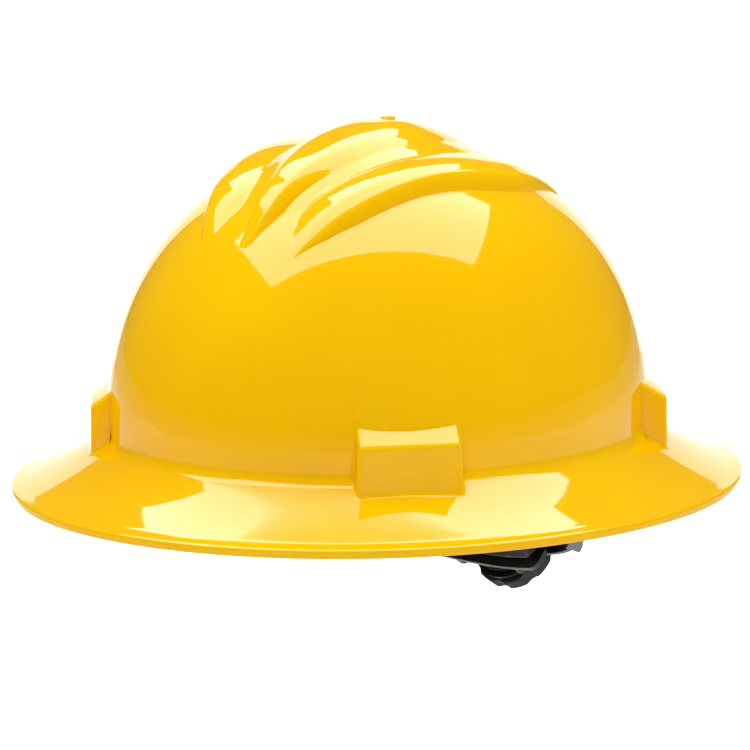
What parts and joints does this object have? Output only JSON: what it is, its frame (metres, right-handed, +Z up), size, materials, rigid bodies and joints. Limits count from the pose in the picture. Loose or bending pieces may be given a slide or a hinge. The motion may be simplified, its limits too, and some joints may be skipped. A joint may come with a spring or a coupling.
{
  "type": "full brim hard hat",
  "caption": "Full brim hard hat with a ridged domed shell, webbing crown suspension, headband and a nape ratchet whose knob draws both rack straps in.",
  "frame": {"origin": "centre of the brim's bottom edge, in the plane of the head opening", "axes": "+Z up through the crown, front of the hat towards -Y, the wearer's left towards +X"},
  "size_m": [0.2798, 0.3136, 0.2084],
  "materials": {
    "yellow_shell": "moulded high density polyethylene, glossy",
    "black_plastic": "moulded nylon, satin",
    "grey_plastic": "moulded nylon, satin",
    "strap_plastic": "moulded low density polyethylene, satin",
    "webbing": "woven polyester webbing",
    "foam_cloth": "knitted cover over foam",
    "grip_rubber": "moulded thermoplastic rubber, matt",
    "screw_steel": "blackened steel"
  },
  "bodies": {
    "helmet": {"shell": "yellow_shell", "front_left_key": "grey_plastic", "front_right_key": "grey_plastic", "rear_left_key": "grey_plastic", "rear_right_key": "grey_plastic", "front_left_strap": "webbing", "front_right_strap": "webbing", "crown_pad": "foam_cloth", "headband": "strap_plastic", "brow_pad": "foam_cloth", "front_left_hanger": "strap_plastic", "front_right_hanger": "strap_plastic", "rear_left_hanger": "strap_plastic", "rear_right_hanger": "strap_plastic", "hanger_rivets": "strap_plastic", "left_pivot_stud": "strap_plastic", "right_pivot_stud": "strap_plastic"},
    "nape_frame": {"left_nape_arm": "black_plastic", "right_nape_arm": "black_plastic", "ratchet_cover": "black_plastic", "ratchet_back_plate": "black_plastic", "nape_pad": "foam_cloth", "case_screws": "screw_steel"},
    "left_rack": {"left_rack_strap": "strap_plastic"},
    "right_rack": {"right_rack_strap": "strap_plastic"},
    "knob_shaft": {"pinion": "black_plastic", "pawl_disc": "black_plastic", "knob": "black_plastic", "knob_grip": "grip_rubber", "knob_screw": "screw_steel"}
  },
  "joints": [
    {"name": "nape_tilt", "type": "hinge", "parent": "helmet", "child": "nape_frame", "pos_m": [0, 0.0125, 0.005], "axis": [1, 0, 0], "range_deg": [-6, 12]},
    {"name": "knob_turn", "type": "hinge", "parent": "nape_frame", "child": "knob_shaft", "pos_m": [0, 0.0125, 0.005], "axis": [0, 0.8572, -0.515], "range_deg": [-280, 280]},
    {"name": "left_rack_slide", "type": "hinge", "parent": "nape_frame", "child": "left_rack", "pos_m": [0, 0.0125, 0.005], "axis": [0, 0.515, 0.8572], "range_deg": [-15, 15]},
    {"name": "right_rack_slide", "type": "hinge", "parent": "nape_frame", "child": "right_rack", "pos_m": [0, 0.0125, 0.005], "axis": [0, 0.515, 0.8572], "range_deg": [-15, 15]}
  ],
  "couplings": [
    {"joint": "left_rack_slide", "follows": "knob_turn", "ratio": -0.050891},
    {"joint": "right_rack_slide", "follows": "knob_turn", "ratio": 0.049689}
  ]
}
